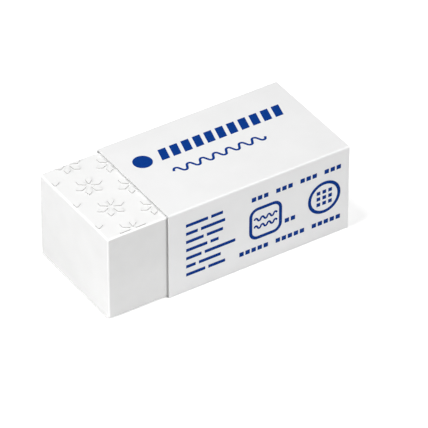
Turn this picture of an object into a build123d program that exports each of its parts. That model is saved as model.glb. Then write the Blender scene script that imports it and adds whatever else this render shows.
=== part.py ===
from build123d import *
import os

# A small vinyl eraser block in a sleeve of folded card.
#
# Frame: +X runs along the block, from the bare working end to the back end.
# +Z is up. The origin is under the middle of the part, on the surface it lies on.
# All sizes are in millimetres.

# ------------------------------------------------------------ driving sizes

# Vinyl block, cut from a moulded slab
block_length = 33.0
block_width = 15.0
block_height = 11.4
block_edge_radius = 0.25

# Relief moulded into the slab's upper face: staggered six-petalled flowers
relief_height = 0.12
petal_count = 6
petal_length = 1.55
petal_width = 0.8
petal_shoulder = 0.9  # from the petal's root to its widest place
flower_eye_radius = 0.25
flower_pitch_long = 4.3
flower_pitch_wide = 4.8

# Card sleeve, folded round the block and glued along a lap underneath
sleeve_length = 25.0
card_thickness = 0.13
fold_radius = 0.25
lap_width = 9.0
lap_edge_inset = 0.6

# Running clearances between the block and the sleeve
side_clearance = 0.17
relief_clearance = 0.02
base_clearance = 0.03

# Blue print on the sleeve's top panel: a disc, slanted bars and a wave
ink_thickness = 0.02
top_print_margin = 0.85
disc_radius = 1.2
disc_inset = 3.1
bar_row_inset = 5.1
bar_row_start = 5.2
bar_width = 1.05
bar_height = 2.0
bar_slant = 0.55
bar_pitch = 1.58
wave_height = 1.9
wave_pitch = 1.8
wave_line_width = 0.3
wave_drop = 3.5
wave_short_by = 6.2
wave_roundness = 0.2  # bend radius for each millimetre of pitch

# Blue print on the near panel: rows of dashes, rows of squares and two marks
near_print_margin = 1.2
row_start = 2.35
row_inset = 2.35
row_pitch = 1.18
dash_height = 0.42
dash_gap = 0.45
dash_rows = (
    (3.0, 1.6),
    (1.6, 3.3),
    (2.4, 2.2),
    (2.9, 1.1),
    (2.1, 4.2),
    (1.3, 3.0),
    (2.6, 2.3),
)
squares_inset = 2.35
square_size = 0.6
square_pitch = 0.845
upper_group = 3
lower_group = 5
pair_gap = 0.4
pair_drop = 1.2
mark_clearance = 1.05
mark_spacing = 3.65
mark_line_width = 0.42
frame_corner_radius = 1.2
small_wave_height = 0.8
small_wave_pitch = 0.9
small_wave_line_width = 0.24
small_wave_spacing = 1.1
tile_size = 0.5
tile_pitch = 0.82
tiles_each_way = 3

# ------------------------------------------------------------ derived places

sleeve_width = block_width + 2 * (side_clearance + card_thickness)
block_base = 2 * card_thickness + base_clearance
block_top = block_base + block_height
sleeve_height = block_top + relief_height + relief_clearance + card_thickness
sleeve_front = block_length / 2 - sleeve_length


# ------------------------------------------------------------ vinyl block

def petal():
    """One kite-shaped petal, its root towards the flower's eye and its tip along +X."""
    shoulder = flower_eye_radius + petal_shoulder
    return Polygon(
        (flower_eye_radius, 0),
        (shoulder, -petal_width / 2),
        (flower_eye_radius + petal_length, 0),
        (shoulder, petal_width / 2),
        align=None,
    )


def flower_places():
    """Places of the flowers: staggered columns that run past the block's edges."""
    columns = int(block_length / 2 / flower_pitch_long) + 1
    rows = int(block_width / 2 / flower_pitch_wide) + 1
    for column in range(-columns, columns + 1):
        stagger = flower_pitch_wide / 2 if column % 2 else 0
        for row in range(-rows, rows + 1):
            yield Pos(column * flower_pitch_long, row * flower_pitch_wide + stagger)


def relief():
    """Raised petals, cut off where the block was cut from its slab."""
    flat_length = block_length - 2 * block_edge_radius
    flat_width = block_width - 2 * block_edge_radius
    flat_top = Rectangle(flat_length, flat_width)
    petals = []
    for place in flower_places():
        for turn in PolarLocations(0, petal_count):
            petals += (flat_top & place * turn * petal()).faces()
    return [extrude(Pos(0, 0, block_top) * face, relief_height) for face in petals]


def eraser_block():
    """The vinyl block, its edges softly broken, with the relief on its upper face."""
    middle = block_base + block_height / 2
    body = Pos(0, 0, middle) * Box(block_length, block_width, block_height)
    body = fillet(body.edges(), block_edge_radius)
    return body + relief()


# ------------------------------------------------------------ card sleeve

def folded_outline(inset, near_base, far_base, step):
    """Section of the sleeve's outer or inner face, inset from the outside.

    The near part reaches down to near_base and the rest only to far_base. They
    change over at step, where the edge of the lap or of the bottom panel lies.
    """
    width = sleeve_width - 2 * inset
    top = sleeve_height - inset
    radius = fold_radius - inset
    far = Pos(0, (far_base + top) / 2) * RectangleRounded(width, top - far_base, radius)
    near = Pos(0, (near_base + top) / 2) * RectangleRounded(width, top - near_base, radius)
    window_width = step + width / 2
    window = Pos(step - window_width / 2, top / 2) * Rectangle(window_width, top)
    return far + (near & window)


def card_sleeve():
    """One strip of card folded into a tube, its lap glued inside the bottom panel."""
    bottom_panel_edge = sleeve_width / 2 - lap_edge_inset
    lap_edge = sleeve_width / 2 - card_thickness - lap_width
    outer = folded_outline(0, 0, card_thickness, bottom_panel_edge)
    inner = folded_outline(card_thickness, card_thickness, 2 * card_thickness, lap_edge)
    section = Plane.YZ.offset(sleeve_front) * (outer - inner)
    return extrude(section, sleeve_length)


# ------------------------------------------------------------ print on the top panel

def wave(half_waves, height, pitch, line_width):
    """An even wave of one rounded stroke, from the origin along +X."""
    points = [(0, 0)]
    for step in range(half_waves):
        side = -1 if step % 2 else 1
        points.append(((step + 0.5) * pitch / 2, side * height / 2))
    points.append((half_waves * pitch / 2, 0))
    return trace(FilletPolyline(*points, radius=wave_roundness * pitch), line_width)


def slanted_bars(length):
    """Bars that lean to the right, as many as fit the length, from the origin."""
    bar = Polygon(
        (0, -bar_height / 2),
        (bar_width, -bar_height / 2),
        (bar_width + bar_slant, bar_height / 2),
        (bar_slant, bar_height / 2),
        align=None,
    )
    count = int((length - bar_width - bar_slant) / bar_pitch) + 1
    return [Pos(number * bar_pitch, 0) * bar for number in range(count)]


def top_shapes():
    """A disc, a row of slanted bars and a wave, from the panel's front near corner."""
    bars_middle = sleeve_width - bar_row_inset
    row_length = sleeve_length - top_print_margin - bar_row_start
    half_waves = int((row_length - wave_short_by) / wave_pitch * 2)
    long_wave = wave(half_waves, wave_height, wave_pitch, wave_line_width)
    shapes = [Pos(disc_inset, bars_middle) * Circle(disc_radius)]
    shapes += [Pos(bar_row_start, bars_middle) * bar for bar in slanted_bars(row_length)]
    shapes.append(Pos(bar_row_start, bars_middle - wave_drop) * long_wave)
    return shapes


# ------------------------------------------------------------ print on the near panel

def dashes():
    """Rows of dashes, one below the other."""
    shapes = []
    row_count = int((sleeve_height - 2 * row_inset) / row_pitch) + 1
    for row in range(row_count):
        height = sleeve_height - row_inset - row * row_pitch
        start = row_start
        for length in dash_rows[row % len(dash_rows)]:
            shapes.append(Pos(start + length / 2, height) * Rectangle(length, dash_height))
            start += length + dash_gap
    return shapes


def squares(left, right, height, group):
    """Squares from right back to left, in groups with one place left bare between them."""
    count = int((right - left - square_size) / square_pitch) + 1
    last = right - square_size / 2
    square = Rectangle(square_size, square_size)
    kept = [number for number in range(count) if number % (group + 1) < group]
    return [Pos(last - number * square_pitch, height) * square for number in kept]


def framed_mark(size):
    """A square frame with round corners, round two short waves."""
    hollow = size - 2 * mark_line_width
    frame = RectangleRounded(size, size, frame_corner_radius)
    frame -= RectangleRounded(hollow, hollow, frame_corner_radius - mark_line_width)
    half_waves = int(hollow / small_wave_pitch * 2) - 1
    short_wave = wave(half_waves, small_wave_height, small_wave_pitch, small_wave_line_width)
    start = -half_waves * small_wave_pitch / 4
    waves = [Pos(start, side * small_wave_spacing / 2) * short_wave for side in (-1, 1)]
    return [frame] + waves


def ringed_mark(size):
    """A ring round a square field of tiles."""
    ring = Circle(size / 2) - Circle(size / 2 - mark_line_width)
    grid = GridLocations(tile_pitch, tile_pitch, tiles_each_way, tiles_each_way)
    return [ring] + [place * Rectangle(tile_size, tile_size) for place in grid]


def near_shapes():
    """The near panel's print, from the panel's front bottom corner."""
    right = sleeve_length - near_print_margin
    upper = sleeve_height - squares_inset
    lower = squares_inset
    middle = (upper + lower) / 2
    rows_end = row_start + dash_gap + max(sum(row) for row in dash_rows)
    mark_size = upper - lower - square_size - 2 * mark_clearance
    ring_left = right - mark_size
    frame_right = ring_left - mark_spacing
    frame_left = frame_right - mark_size
    pair_left = frame_right + pair_gap
    pair_right = pair_left + square_pitch + square_size
    shapes = dashes()
    shapes += squares(frame_left, right, upper, upper_group)
    shapes += squares(rows_end, right, lower, lower_group)
    shapes += squares(pair_left, pair_right, middle - pair_drop, upper_group)
    frame_place = Pos((frame_left + frame_right) / 2, middle)
    ring_place = Pos((ring_left + right) / 2, middle)
    shapes += [frame_place * shape for shape in framed_mark(mark_size)]
    shapes += [ring_place * shape for shape in ringed_mark(mark_size)]
    return shapes


# ------------------------------------------------------------ ink

def ink(shapes, plane, panel_height, margin):
    """Films of ink for the shapes, inside the margin of a panel that starts at the plane."""
    inner_length = sleeve_length - 2 * margin
    inner_height = panel_height - 2 * margin
    panel = Pos(sleeve_length / 2, panel_height / 2) * Rectangle(inner_length, inner_height)
    sheet = (Sketch() + shapes) & panel
    return [extrude(plane * face, ink_thickness) for face in sheet.faces()]


def sleeve_print():
    """All the ink on the sleeve."""
    near = -sleeve_width / 2
    top_plane = Plane((sleeve_front, near, sleeve_height), x_dir=(1, 0, 0), z_dir=(0, 0, 1))
    near_plane = Plane((sleeve_front, near, 0), x_dir=(1, 0, 0), z_dir=(0, -1, 0))
    films = ink(top_shapes(), top_plane, sleeve_width, top_print_margin)
    films += ink(near_shapes(), near_plane, sleeve_height, near_print_margin)
    return Compound([solid for film in films for solid in film.solids()])


# ------------------------------------------------------------ output

nodes = {
    "eraser_block": eraser_block(),
    "card_sleeve": card_sleeve(),
    "sleeve_print": sleeve_print(),
}

os.makedirs("parts", exist_ok=True)
for name, shape in nodes.items():
    export_step(shape, f"parts/{name}.step")
    print(name, "solids", len(shape.solids()), "volume", round(shape.volume, 2))
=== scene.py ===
import math

import bmesh
import bpy
from mathutils import Matrix, Vector


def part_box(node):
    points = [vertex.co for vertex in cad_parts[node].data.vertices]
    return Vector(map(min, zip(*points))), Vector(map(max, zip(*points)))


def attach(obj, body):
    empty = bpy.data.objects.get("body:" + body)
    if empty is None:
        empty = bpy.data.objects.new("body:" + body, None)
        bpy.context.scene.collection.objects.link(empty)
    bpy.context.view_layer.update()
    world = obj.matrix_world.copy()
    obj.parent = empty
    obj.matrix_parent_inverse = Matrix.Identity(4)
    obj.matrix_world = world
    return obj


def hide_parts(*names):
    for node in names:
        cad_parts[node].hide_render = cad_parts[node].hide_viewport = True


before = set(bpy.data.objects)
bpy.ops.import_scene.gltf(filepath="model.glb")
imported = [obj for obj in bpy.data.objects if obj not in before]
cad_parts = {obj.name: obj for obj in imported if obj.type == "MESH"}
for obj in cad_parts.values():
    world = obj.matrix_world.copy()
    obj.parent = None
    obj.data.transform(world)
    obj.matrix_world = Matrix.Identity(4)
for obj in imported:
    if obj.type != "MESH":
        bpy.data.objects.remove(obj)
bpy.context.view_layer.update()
mm = 0.001


# ------------------------------------------------------------ vinyl block
# A block of soft white vinyl, cut from a moulded slab. The slab's upper face carries a raised
# relief of six-petalled flowers, and the cuts run straight through the flowers in their way.
# Its edges are rounded, with a painted highlight along them, and the walls of the petals carry
# painted shade. The cut faces take a darker tone than the moulded top, partly their own and
# partly painted shade.

edge_radius = 0.25 * mm
edge_steps = 8
base_edge_radius = 0.1 * mm  # round the underside, where hands rub less
base_edge_steps = 4
edge_border = 0.06 * mm  # narrow strip that keeps each flat face flat up to its rounded edge
smooth_angle = math.radians(35)  # edges that turn by less are shaded smooth

relief_height = 0.12 * mm
petal_count = 6
petal_length = 1.55 * mm
petal_width = 0.8 * mm
petal_shoulder = 0.9 * mm  # from the petal's root to its widest place
petal_tip_radius = 0.07 * mm
petal_tip_steps = 2
petal_dome_steps = 3
petal_dome_inset = 0.06  # how far the top of the petal draws in, as a share of its size
petal_root_depth = 0.04 * mm
petal_weld = 0.0001 * mm  # corners of a petal that lie closer than this are one corner
flower_eye_radius = 0.25 * mm
flower_pitch_long = 4.3 * mm
flower_pitch_wide = 4.8 * mm

# A pair of tones, or of roughnesses, gives both ends of a surface that varies a little
moulded_tones = (0.880, 0.880, 0.875), (0.910, 0.910, 0.906)
# Darker than the moulded top: partly the cut faces' own tone, partly painted shade on the sides
cut_tones_with_painted_shade = (0.802, 0.802, 0.797), (0.832, 0.832, 0.828)
# Painted highlight on the rounded edges
painted_edge_highlight_tone = (0.99, 0.99, 0.985)
# Painted shade on the walls of the petals
painted_wall_shade_tone = (0.50, 0.50, 0.49)
vinyl_roughness = 0.5, 0.62
vinyl_ior = 1.52
vinyl_blotch = 2.6 * mm
vinyl_grain = 0.09 * mm
vinyl_grain_depth = 0.006 * mm
knife_line_width = 0.12 * mm
knife_line_pull = (1, 1, 30)  # the knife came straight down
knife_line_depth = 0.006 * mm
noise_range = 0.3, 0.7  # nearly all the values of a noise lie in it

# A face has a share of 1 in an axis that it looks straight along, and of 0 in one across it
cut_shares = 0.3, 0.6  # in Z: the cut faces have less, and the moulded ones more
wall_shares = 0.4, 0.8  # in Z: the walls of the petals have less, and their tops more
flat_shares = 0.86, 0.99  # in the nearest axis: rounded edges have less, and flat faces more


def wire(tree, node, sockets):
    """Gives each input that sockets names its value, its link or its list of links."""
    for key, value in sockets.items():
        for link in value if isinstance(value, list) else [value]:
            if isinstance(link, bpy.types.NodeSocket):
                tree.links.new(link, node.inputs[key])
            else:
                node.inputs[key].default_value = link


def put(tree, kind, sockets=None, **settings):
    """Adds a node, with its own settings and with its inputs wired."""
    node = tree.nodes.new(kind)
    for name, value in settings.items():
        setattr(node, name, value)
    wire(tree, node, sockets or {})
    return node


def made(tree, kind, sockets=None, **settings):
    """Adds a node, and gives its first output."""
    return put(tree, kind, sockets, **settings).outputs[0]


def worked(tree, operation, *values):
    """The result of an operation on the values."""
    return made(tree, "ShaderNodeMath", dict(enumerate(values)), operation=operation)


def spread(tree, value, start, end, low, high):
    """A number from low to high, as the value goes from start to end."""
    sockets = {"Value": value, "From Min": start, "From Max": end, "To Min": low, "To Max": high}
    return made(tree, "ShaderNodeMapRange", sockets)


def vector(tree, **axes):
    """A vector with a value or a link for each axis named, and 0 for the others."""
    return made(tree, "ShaderNodeCombineXYZ", axes)


def moved(tree, mesh, place, turn=(0, 0, 0)):
    """The mesh, turned and then moved to the place."""
    sockets = {"Geometry": mesh, "Translation": place, "Rotation": turn}
    return made(tree, "GeometryNodeTransform", sockets)


def new_shape_tree(name, sizes):
    """A geometry tree with one mesh in, one mesh out and a named input for each size."""
    tree = bpy.data.node_groups.new(name, "GeometryNodeTree")
    tree.interface.new_socket("Mesh", in_out="INPUT", socket_type="NodeSocketGeometry")
    for size, value in sizes.items():
        kind = "NodeSocketInt" if isinstance(value, int) else "NodeSocketFloat"
        tree.interface.new_socket(size, in_out="INPUT", socket_type=kind)
    tree.interface.new_socket("Mesh", in_out="OUTPUT", socket_type="NodeSocketGeometry")
    return tree, tree.nodes.new("NodeGroupInput").outputs


def end_shape_tree(tree, mesh, finish):
    """Ends the tree in a plain mesh with that finish."""
    plain = made(tree, "GeometryNodeRealizeInstances", {"Geometry": mesh})
    finished = made(tree, "GeometryNodeSetMaterial", {"Geometry": plain, "Material": finish})
    put(tree, "NodeGroupOutput", {"Mesh": finished})


def add_shape_tree(piece, tree, sizes):
    """Puts the tree on the piece as a modifier, with the sizes in its named inputs."""
    modifier = piece.modifiers.new(tree.name, "NODES")
    modifier.node_group = tree
    for socket in tree.interface.items_tree:
        if socket.in_out == "INPUT" and socket.name in sizes:
            modifier[socket.identifier] = sizes[socket.name]


def apply_modifiers(piece):
    """Turns what the modifiers give into the piece's own mesh, and removes them."""
    shown = piece.evaluated_get(bpy.context.evaluated_depsgraph_get())
    piece.data = bpy.data.meshes.new_from_object(shown)
    piece.modifiers.clear()
    piece.data.name = piece.name


def make_plain(piece):
    """Applies the modifiers, and shades rounded edges smooth and the faces between them flat."""
    apply_modifiers(piece)
    piece.data.shade_smooth()
    piece.data.set_sharp_from_angle(angle=smooth_angle)
    flat_faces = piece.modifiers.new("flat_faces", "WEIGHTED_NORMAL")
    flat_faces.weight = 100  # the largest face at a corner sets its shading
    flat_faces.keep_sharp = True
    apply_modifiers(piece)


def new_piece(name, mesh):
    """An object of that name in the scene, at the origin."""
    piece = bpy.data.objects.new(name, mesh)
    bpy.context.scene.collection.objects.link(piece)
    return piece


def new_finish(name):
    """A material with its shader, and Object coordinates to lay its patterns out by."""
    material = bpy.data.materials.new(name)
    material.use_nodes = True
    tree = material.node_tree
    shader = tree.nodes["Principled BSDF"]
    place = put(tree, "ShaderNodeTexCoord").outputs
    return material, tree, shader, place


def mottle(tree, place, grain, detail=2.0):
    """Soft even noise whose blotches are about one grain across."""
    sockets = {"Vector": place, "Scale": 1 / grain, "Detail": detail}
    return made(tree, "ShaderNodeTexNoise", sockets)


def stretched(tree, place, pull):
    """Coordinates in which a pattern is drawn out along each axis by its factor in pull."""
    scale = tuple(1 / factor for factor in pull)
    return made(tree, "ShaderNodeMapping", {"Vector": place, "Scale": scale})


def between(tree, noise, low, high):
    """A number or a colour that goes from low to high with the noise."""
    if not isinstance(low, tuple):
        return spread(tree, noise, *noise_range, low, high)
    ramp = put(tree, "ShaderNodeValToRGB", {"Fac": noise})
    for stop, place, colour in zip(ramp.color_ramp.elements, noise_range, (low, high)):
        stop.position = place
        stop.color = (*colour, 1)
    return ramp.outputs["Color"]


def covered(tree, amount, under, over):
    """The colour under, with the colour over laid on it by the amount."""
    factor, first_colour, second_colour, mixed_colour = 0, 6, 7, 2  # by number: names repeat
    sockets = {factor: amount, first_colour: under, second_colour: over}
    return put(tree, "ShaderNodeMix", sockets, data_type="RGBA").outputs[mixed_colour]


def bumped(tree, height, depth, strength, under=None):
    """A normal with bumps of that depth, on top of the bumps under it."""
    sockets = {"Height": height, "Distance": depth, "Strength": strength}
    if under:
        sockets["Normal"] = under
    return made(tree, "ShaderNodeBump", sockets)


def round_off(bm, edges, radius, steps):
    """Gives the edges a quarter circle of that radius."""
    bmesh.ops.bevel(bm, geom=edges, offset=radius, segments=steps, profile=0.5, affect="EDGES")


def rounded_box(name, low, high):
    """A closed box with rounded edges, each flat face bordered by a narrow strip."""
    bm = bmesh.new()
    size = Matrix.Diagonal((*(high - low), 1))
    bmesh.ops.create_cube(bm, size=1, matrix=Matrix.Translation((low + high) / 2) @ size)
    flat_face_count = len(bm.faces)
    middle = (low.z + high.z) / 2
    upper = [edge for edge in bm.edges if any(vert.co.z > middle for vert in edge.verts)]
    round_off(bm, upper, edge_radius, edge_steps)
    base = min(bm.faces, key=lambda face: face.calc_center_median().z)
    round_off(bm, base.edges[:], base_edge_radius, base_edge_steps)
    flat_faces = sorted(bm.faces, key=lambda face: face.calc_area())[-flat_face_count:]
    bmesh.ops.inset_individual(bm, faces=flat_faces, thickness=edge_border)
    mesh = bpy.data.meshes.new(name)
    bm.to_mesh(mesh)
    bm.free()
    return mesh


def petal(tree, sizes):
    """One kite-shaped petal with a domed top, its root towards the flower's eye, along +X."""
    kite = made(
        tree, "GeometryNodeCurvePrimitiveQuadrilateral",
        {"Width": sizes["Petal width"], "Bottom Height": sizes["Petal shoulder"],
         "Top Height": sizes["Petal reach"]},
        mode="KITE",
    )
    outline = made(
        tree, "GeometryNodeFilletCurve",
        {"Curve": kite, "Count": petal_tip_steps, "Radius": sizes["Petal tip radius"]},
        mode="POLY",
    )
    base = made(tree, "GeometryNodeFillCurve", {"Curve": outline}, mode="NGONS")
    under = made(tree, "GeometryNodeFlipFaces", {"Mesh": base})
    wall = put(
        tree, "GeometryNodeExtrudeMesh", {"Mesh": base, "Offset Scale": sizes["Petal root depth"]}
    ).outputs
    mesh, top = wall["Mesh"], wall["Top"]
    turns = [math.pi / 2 * step / petal_dome_steps for step in range(petal_dome_steps + 1)]
    heights = [math.sin(turn) for turn in turns]
    widths = [1 - petal_dome_inset * (1 - math.cos(turn)) for turn in turns]
    for step in range(petal_dome_steps):
        lift = worked(
            tree, "MULTIPLY", sizes["Relief height"], heights[step + 1] - heights[step]
        )
        ring = put(
            tree, "GeometryNodeExtrudeMesh", {"Mesh": mesh, "Selection": top, "Offset Scale": lift}
        ).outputs
        top = ring["Top"]
        mesh = made(
            tree, "GeometryNodeScaleElements",
            {"Geometry": ring["Mesh"], "Selection": top, "Scale": widths[step + 1] / widths[step]},
        )
    whole = made(tree, "GeometryNodeJoinGeometry", {"Geometry": [mesh, under]})
    closed = made(
        tree, "GeometryNodeMergeByDistance", {"Geometry": whole, "Distance": petal_weld}
    )
    root = worked(tree, "ADD", sizes["Eye radius"], sizes["Petal shoulder"])
    return moved(tree, closed, vector(tree, X=root), (0, 0, -math.pi / 2))


def flower(tree, sizes):
    """Petals evenly turned about the flower's eye."""
    count = sizes["Petal count"]
    eye = made(tree, "GeometryNodePoints", {"Count": count})
    share = worked(tree, "DIVIDE", made(tree, "GeometryNodeInputIndex"), count)
    turn = worked(tree, "MULTIPLY", share, 2 * math.pi)
    return made(
        tree, "GeometryNodeInstanceOnPoints",
        {"Points": eye, "Instance": petal(tree, sizes), "Rotation": vector(tree, Z=turn)},
    )


def staggered_places(tree, sizes):
    """Points in columns across the block, every other column half a pitch further on."""
    grid = made(
        tree, "GeometryNodeMeshGrid",
        {"Size X": sizes["Grid length"], "Size Y": sizes["Grid width"],
         "Vertices X": sizes["Columns"], "Vertices Y": sizes["Rows"]},
    )
    share = worked(tree, "DIVIDE", made(tree, "GeometryNodeInputIndex"), sizes["Rows"])
    odd = worked(tree, "MODULO", worked(tree, "FLOOR", share), 2.0)
    step = worked(tree, "MULTIPLY", odd, sizes["Stagger"])
    return made(
        tree, "GeometryNodeSetPosition", {"Geometry": grid, "Offset": vector(tree, Y=step)}
    )


def flower_relief(finish):
    """Tree that seats flowers on the flat top, trims them at its edges and joins them to it."""
    tree, sizes = new_shape_tree("flower_relief", relief_sizes)
    flowers = made(
        tree, "GeometryNodeInstanceOnPoints",
        {"Points": staggered_places(tree, sizes), "Instance": flower(tree, sizes)},
    )
    loose = made(tree, "GeometryNodeRealizeInstances", {"Geometry": flowers})
    sunk = worked(tree, "SUBTRACT", sizes["Flat height"], sizes["Petal root depth"])
    seated = moved(tree, loose, vector(tree, Z=sunk))
    reach = vector(tree, X=sizes["Flat length"], Y=sizes["Flat width"], Z=sizes["Flat height"])
    cut_lines = made(tree, "GeometryNodeMeshCube", {"Size": reach})
    cut_box = moved(tree, cut_lines, vector(tree, Z=sizes["Flat height"]))
    trimmed = made(
        tree, "GeometryNodeMeshBoolean", {"Mesh 2": [seated, cut_box]},
        operation="INTERSECT", solver="EXACT",
    )
    moulded = made(
        tree, "GeometryNodeMeshBoolean", {"Mesh 2": [sizes["Mesh"], trimmed]},
        operation="UNION", solver="EXACT",
    )
    end_shape_tree(tree, moulded, finish)
    return tree


def white_vinyl():
    """Moulded and cut faces in two tones, the cut ones partly painted shade, with a painted
    highlight on the rounded edges, painted shade on the walls of the petals, and knife lines.
    """
    vinyl, tree, shader, place = new_finish("white_vinyl")
    facing = made(tree, "ShaderNodeVectorMath", {0: place["Normal"]}, operation="ABSOLUTE")
    shares = put(tree, "ShaderNodeSeparateXYZ", {"Vector": facing}).outputs
    height = put(tree, "ShaderNodeSeparateXYZ", {"Vector": place["Object"]}).outputs["Z"]

    # Steep faces, by their normal, take the darker cut tone: partly their own, partly painted
    # shade
    cut = spread(tree, shares["Z"], *cut_shares, 1.0, 0.0)
    nearest = worked(tree, "MAXIMUM", shares["X"], shares["Y"])
    nearest = worked(tree, "MAXIMUM", nearest, shares["Z"])
    rounded = spread(tree, nearest, *flat_shares, 1.0, 0.0)
    # Painted highlight on the rounded edges, from above the underside's edges up to the relief
    highlight_band_low, highlight_band_high = block_low.z + edge_radius, body_high.z
    highlight_band = worked(tree, "COMPARE", height, (highlight_band_low + highlight_band_high) / 2, (highlight_band_high - highlight_band_low) / 2)
    painted_edge_highlight = worked(tree, "MULTIPLY", rounded, highlight_band)
    # Painted shade on the walls of the petals, whichever way they face
    wall = spread(tree, shares["Z"], *wall_shares, 1.0, 0.0)
    raised = worked(tree, "GREATER_THAN", height, body_high.z)
    painted_wall_shade = worked(tree, "MULTIPLY", wall, raised)

    blotches = mottle(tree, place["Object"], vinyl_blotch)
    moulded = between(tree, blotches, *moulded_tones)
    # The cut tone is partly painted shade; over it go the painted edge highlight and the painted
    # shade on the walls of the petals
    tone = covered(tree, cut, moulded, between(tree, blotches, *cut_tones_with_painted_shade))
    tone = covered(tree, painted_edge_highlight, tone, (*painted_edge_highlight_tone, 1))
    tone = covered(tree, painted_wall_shade, tone, (*painted_wall_shade_tone, 1))

    knife_lines = mottle(tree, stretched(tree, place["Object"], knife_line_pull), knife_line_width)
    drag = worked(tree, "MULTIPLY", knife_lines, cut)
    scored = bumped(tree, drag, knife_line_depth, strength=0.5)
    grain = mottle(tree, place["Object"], vinyl_grain, detail=4.0)
    wire(tree, shader, {
        "Base Color": tone,
        "Roughness": between(tree, grain, *vinyl_roughness),
        "Normal": bumped(tree, grain, vinyl_grain_depth, strength=0.5, under=scored),
        "IOR": vinyl_ior,
    })
    return vinyl


def places_across(length, pitch):
    """An odd number of places at that pitch, which run past both ends of the length."""
    return 2 * int(length / 2 / pitch) + 3


block_low, block_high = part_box("eraser_block")
body_high = Vector((block_high.x, block_high.y, block_high.z - relief_height))
columns = places_across(block_high.x - block_low.x, flower_pitch_long)
rows = places_across(block_high.y - block_low.y, flower_pitch_wide)
relief_sizes = {
    "Relief height": relief_height,
    "Petal count": petal_count,
    "Petal width": petal_width,
    "Petal shoulder": petal_shoulder,
    "Petal reach": petal_length - petal_shoulder,
    "Petal tip radius": petal_tip_radius,
    "Petal root depth": petal_root_depth,
    "Eye radius": flower_eye_radius,
    "Columns": columns,
    "Rows": rows,
    "Grid length": (columns - 1) * flower_pitch_long,
    "Grid width": (rows - 1) * flower_pitch_wide,
    "Stagger": flower_pitch_wide / 2,
    "Flat length": block_high.x - block_low.x - 2 * edge_radius,
    "Flat width": block_high.y - block_low.y - 2 * edge_radius,
    "Flat height": body_high.z,
}

block = new_piece("vinyl_block", rounded_box("vinyl_block", block_low, body_high))
add_shape_tree(block, flower_relief(white_vinyl()), relief_sizes)
make_plain(block)
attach(block, "eraser")
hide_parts("eraser_block")


# ------------------------------------------------------------ card sleeve
# One strip of card, clay-coated white on its outer face and grey inside. It is scored, folded
# round the block and glued to itself underneath, where the bottom panel lies on the lap. Its two
# ends are cut square, and show the card's pale core.

card_thickness = 0.13 * mm
fold_radius = 0.25 * mm
fold_steps = 10
lap_width = 9.0 * mm
lap_edge_inset = 0.6 * mm
glue_gap = 0.01 * mm
cut_edge_radius = 0.015 * mm
cut_edge_steps = 2
cut_edge_angle = math.radians(60)  # the card turns by more than this only where it is cut

coated_tones = (0.868, 0.868, 0.868), (0.892, 0.892, 0.892)
coated_roughness = 0.38, 0.5
coated_ior = 1.5
coated_blotch = 3.2 * mm
coated_wave = 4.0 * mm
coated_wave_depth = 0.02 * mm
coated_fibre = 0.11 * mm
coated_fibre_pull = (3, 1, 1)  # the fibres run along the sleeve
coated_fibre_depth = 0.003 * mm
raw_tones = (0.22, 0.215, 0.205), (0.30, 0.295, 0.28)
raw_roughness = 0.85
raw_fibre = 0.14 * mm
raw_fibre_pull = (4, 1, 1)
core_tones = (0.76, 0.76, 0.755), (0.86, 0.86, 0.855)
core_roughness = 0.9
core_ply = 0.06 * mm
bare_card_depth = 0.01 * mm


def coated_card():
    """Clay-coated white, a little wavy, with the fibres just showing through."""
    card, tree, shader, place = new_finish("coated_card")
    blotches = mottle(tree, place["Object"], coated_blotch)
    waves = mottle(tree, place["Object"], coated_wave)
    wavy = bumped(tree, waves, coated_wave_depth, strength=0.4)
    along = stretched(tree, place["Object"], coated_fibre_pull)
    fibres = mottle(tree, along, coated_fibre, detail=3.0)
    wire(tree, shader, {
        "Base Color": between(tree, blotches, *coated_tones),
        "Roughness": between(tree, fibres, *coated_roughness),
        "Normal": bumped(tree, fibres, coated_fibre_depth, strength=0.5, under=wavy),
        "IOR": coated_ior,
    })
    return card


def raw_card():
    """The grey inner face, with its fibres bare."""
    card, tree, shader, place = new_finish("raw_card")
    along = stretched(tree, place["Object"], raw_fibre_pull)
    fibres = mottle(tree, along, raw_fibre, detail=4.0)
    wire(tree, shader, {
        "Base Color": between(tree, fibres, *raw_tones),
        "Roughness": raw_roughness,
        "Normal": bumped(tree, fibres, bare_card_depth, strength=0.6),
    })
    return card


def cut_card():
    """The pale core, with its plies cut across."""
    card, tree, shader, place = new_finish("cut_card")
    plies = mottle(tree, place["Object"], core_ply, detail=3.0)
    wire(tree, shader, {
        "Base Color": between(tree, plies, *core_tones),
        "Roughness": core_roughness,
        "Normal": bumped(tree, plies, bare_card_depth, strength=0.6),
    })
    return card


def folded_strip(finish):
    """Tree that rounds the folds of a line of edges, and draws it out into a sheet along +X."""
    tree, sizes = new_shape_tree("folded_strip", sleeve_sizes)
    line = made(tree, "GeometryNodeMeshToCurve", {"Mesh": sizes["Mesh"]})
    folded = made(
        tree, "GeometryNodeFilletCurve",
        {"Curve": line, "Count": sizes["Fold steps"], "Radius": sizes["Fold radius"]},
        mode="POLY",
    )
    edge = made(tree, "GeometryNodeCurveToMesh", {"Curve": folded})
    sheet = made(
        tree, "GeometryNodeExtrudeMesh",
        {"Mesh": edge, "Offset": vector(tree, X=sizes["Length"])}, mode="EDGES",
    )
    end_shape_tree(tree, sheet, finish)
    return tree


sleeve_low, sleeve_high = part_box("card_sleeve")
near, far, top_z = sleeve_low.y, sleeve_high.y, sleeve_high.z
lap_z = card_thickness + glue_gap
fold_line = [
    (far - lap_edge_inset, 0),
    (near, 0),
    (near, top_z),
    (far, top_z),
    (far, lap_z),
    (far - card_thickness - lap_width, lap_z),
]
sleeve_sizes = {
    "Fold radius": fold_radius,
    "Fold steps": fold_steps,
    "Length": sleeve_high.x - sleeve_low.x,
}

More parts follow.
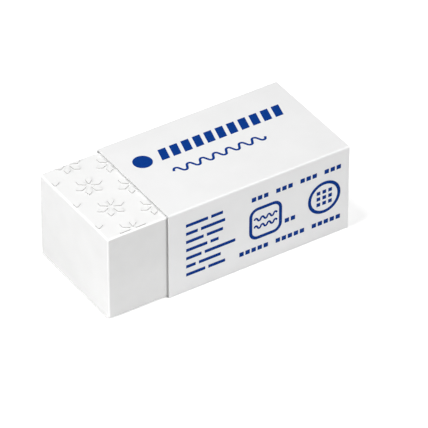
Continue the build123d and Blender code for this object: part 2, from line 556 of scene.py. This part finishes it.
strip = bpy.data.meshes.new("card_sleeve_strip")
strip.from_pydata(
    [(sleeve_low.x, y, z) for y, z in fold_line],
    [(number, number + 1) for number in range(len(fold_line) - 1)],
    [],
)
coated, raw, core = coated_card(), raw_card(), cut_card()
for finish in (coated, raw, core):
    strip.materials.append(finish)
sleeve = new_piece("folded_card_sleeve", strip)
add_shape_tree(sleeve, folded_strip(coated), sleeve_sizes)
card = sleeve.modifiers.new("card", "SOLIDIFY")
card.thickness = card_thickness
card.offset = -1  # inwards
card.use_even_offset = True
card.material_offset = 1  # raw inside
card.material_offset_rim = 2  # core at the cut edges
rim = sleeve.modifiers.new("cut_edges", "BEVEL")
rim.width = cut_edge_radius
rim.segments = cut_edge_steps
rim.angle_limit = cut_edge_angle
make_plain(sleeve)
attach(sleeve, "sleeve")
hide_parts("card_sleeve")


# ------------------------------------------------------------ blue print
# One dark blue ink, printed on the card before it was cut and folded. It lies in a thin matt
# film on the top and near panels, a little uneven in its cover.

ink_tones = (0.0040, 0.037, 0.230), (0.0052, 0.046, 0.270)
ink_roughness = 0.42, 0.34
ink_specular = 0.02
ink_blotch = 0.35 * mm
ink_depth = 0.002 * mm


def blue_ink():
    """Matt blue, lighter and smoother in blotches."""
    ink, tree, shader, place = new_finish("blue_ink")
    cover = mottle(tree, place["Object"], ink_blotch, detail=3.0)
    wire(tree, shader, {
        "Base Color": between(tree, cover, *ink_tones),
        "Roughness": between(tree, cover, *ink_roughness),
        "Normal": bumped(tree, cover, ink_depth, strength=0.4),
        "Specular IOR Level": ink_specular,
    })
    return ink


print_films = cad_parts["sleeve_print"]
print_films.data.materials.clear()
print_films.data.materials.append(blue_ink())


# ------------------------------------------------------------ floor, light and camera
# A plain white sweep under three studio lamps: a large one low on the left, a small one high on
# the right, and one close overhead that fades towards the back. The floor keeps a faint shadow.

floor_reach = 1.5
floor_drop = 0.01 * mm  # keeps the floor clear of the card that lies on it
floor_colour = (0.90, 0.90, 0.90)
floor_whiteness = 0.44  # plain white that the camera sees added to the floor's own shade
far_whiteness = 1.0  # the same, far from the eraser
sweep_start = 0.06
sweep_end = 0.2
sky_level = 0.03
lamps = {  # power, size, distance, turn about +Z from -Y, angle above the floor
    "left": (2.3, 0.35, 0.6, math.radians(-90), math.radians(22)),
    "right": (1.86, 0.08, 0.6, math.radians(35), math.radians(46)),
    "overhead": (0.088, 0.04, 0.15, math.radians(-90), math.radians(77)),
}
camera_turn = math.radians(-32.87)
camera_height = math.radians(37.18)
camera_distance = 518.8 * mm
camera_aim = Vector((0, 0, 6.5 * mm))
camera_shift_right = 2.28 * mm
camera_shift_up = -2.08 * mm
camera_sensor = 36
camera_lens = 373.6
camera_clip_start = 0.01


def white_sweep():
    """A matt floor that the camera sees whiter than its light makes it, and white far away."""
    sweep = bpy.data.materials.new("white_sweep")
    sweep.use_nodes = True
    tree = sweep.node_tree
    tree.nodes.clear()
    matte = made(tree, "ShaderNodeBsdfDiffuse", {"Color": (*floor_colour, 1)})
    place = put(tree, "ShaderNodeTexCoord").outputs["Object"]
    distance = put(
        tree, "ShaderNodeVectorMath", {0: place}, operation="LENGTH"
    ).outputs["Value"]
    whiteness = spread(tree, distance, sweep_start, sweep_end, floor_whiteness, far_whiteness)
    seen = put(tree, "ShaderNodeLightPath").outputs["Is Camera Ray"]
    strength = worked(tree, "MULTIPLY", seen, whiteness)
    white = made(tree, "ShaderNodeEmission", {"Color": (1, 1, 1, 1), "Strength": strength})
    both = made(tree, "ShaderNodeAddShader", {0: matte, 1: white})
    put(tree, "ShaderNodeOutputMaterial", {"Surface": both})
    return sweep


def studio_sky():
    """A faint even light, which the camera sees as plain white."""
    sky = bpy.data.worlds.new("studio")
    sky.use_nodes = True
    tree = sky.node_tree
    tree.nodes.clear()
    paths = put(tree, "ShaderNodeLightPath").outputs
    seen = worked(tree, "MAXIMUM", paths["Is Camera Ray"], paths["Is Transmission Ray"])
    even = made(tree, "ShaderNodeBackground", {"Color": (1, 1, 1, 1), "Strength": sky_level})
    white = made(tree, "ShaderNodeBackground", {"Color": (1, 1, 1, 1), "Strength": 1.0})
    mixed = made(tree, "ShaderNodeMixShader", {0: seen, 1: even, 2: white})
    put(tree, "ShaderNodeOutputWorld", {"Surface": mixed})
    return sky


def direction(turn, height):
    """Unit vector at that turn about +Z from -Y, and at that angle above the floor."""
    level = math.cos(height)
    return Vector((math.sin(turn) * level, -math.cos(turn) * level, math.sin(height)))


def aimed(back, place):
    """Matrix of a lamp or camera at the place that looks along -back, upright."""
    turn = back.to_track_quat("Z", "Y").to_matrix().to_4x4()
    return Matrix.Translation(place) @ turn


floor_mesh = bpy.data.meshes.new("floor")
corners = [(-floor_reach, -floor_reach), (floor_reach, -floor_reach),
           (floor_reach, floor_reach), (-floor_reach, floor_reach)]
floor_mesh.from_pydata([(x, y, -floor_drop) for x, y in corners], [], [(0, 1, 2, 3)])
floor_mesh.materials.append(white_sweep())
floor = new_piece("floor", floor_mesh)
bpy.context.scene.world = studio_sky()

for name, (power, size, distance, turn, height) in lamps.items():
    light = bpy.data.lights.new(name, "AREA")
    light.shape = "DISK"
    light.size = size
    light.energy = power
    towards = direction(turn, height)
    new_piece(name, light).matrix_world = aimed(towards, towards * distance)

camera_data = bpy.data.cameras.new("camera")
camera_data.sensor_width = camera_sensor
camera_data.lens = camera_lens
camera_data.clip_start = camera_clip_start
camera = new_piece("camera", camera_data)
back = direction(camera_turn, camera_height)
right = Vector((math.cos(camera_turn), math.sin(camera_turn), 0))
up = back.cross(right)
aside = right * camera_shift_right + up * camera_shift_up
camera.matrix_world = aimed(back, camera_aim + back * camera_distance + aside)
bpy.context.scene.camera = camera
bpy.context.scene.view_settings.view_transform = "Standard"
